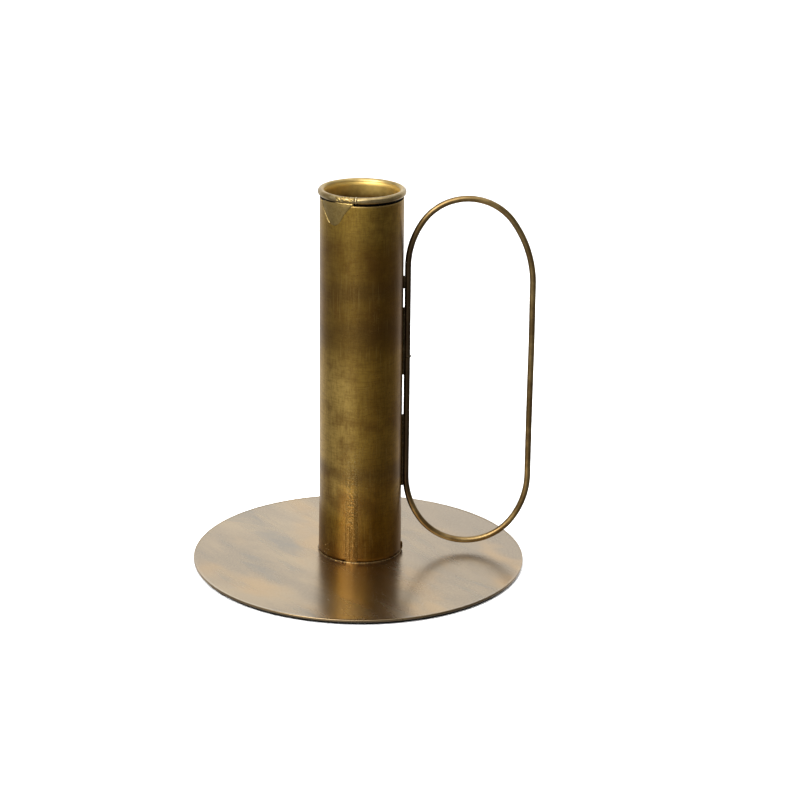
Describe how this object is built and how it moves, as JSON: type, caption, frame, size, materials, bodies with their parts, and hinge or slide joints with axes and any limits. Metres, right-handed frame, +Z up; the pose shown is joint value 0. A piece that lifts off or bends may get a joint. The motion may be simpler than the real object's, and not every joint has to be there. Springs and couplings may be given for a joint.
{
  "type": "chamber candlestick",
  "caption": "Brass chamber candlestick: a plain tube with a curled-rim candle cup on a flat disc foot, with an oval wire finger loop soldered along one side.",
  "frame": {"origin": "where the tube's axis meets the plane that the felt rests on", "axes": "+Z up along the tube's axis and out of the candle cup, +X towards the finger loop, -Y towards the front"},
  "size_m": [0.1067, 0.1044, 0.12],
  "materials": {
    "tube_brass": "aged, semi-gloss, smoky brown patina with fine upright scratches",
    "plate_brass": "aged, semi-gloss, cloudy pale patina with fine brushing and tarnish spots",
    "cup_brass": "clean bright brass inside the cup, dulled on the bead",
    "wire_brass": "aged drawn wire, satin",
    "solder": "rough, lumpy, olive-grey",
    "felt": "matte black felt"
  },
  "bodies": {
    "root": {"base_felt_pad": "felt", "base_plate": "plate_brass", "stem_tube": "tube_brass", "stem_seam_braze": "solder", "foot_braze": "solder", "candle_cup": "cup_brass", "cup_floor_disc": "cup_brass", "rim_joint_braze": "solder", "rim_solder_run": "solder", "finger_loop": "wire_brass", "loop_butt_solder": "solder", "loop_solder_top": "solder", "loop_solder_middle": "solder", "loop_solder_bottom": "solder"}
  },
  "joints": []
}
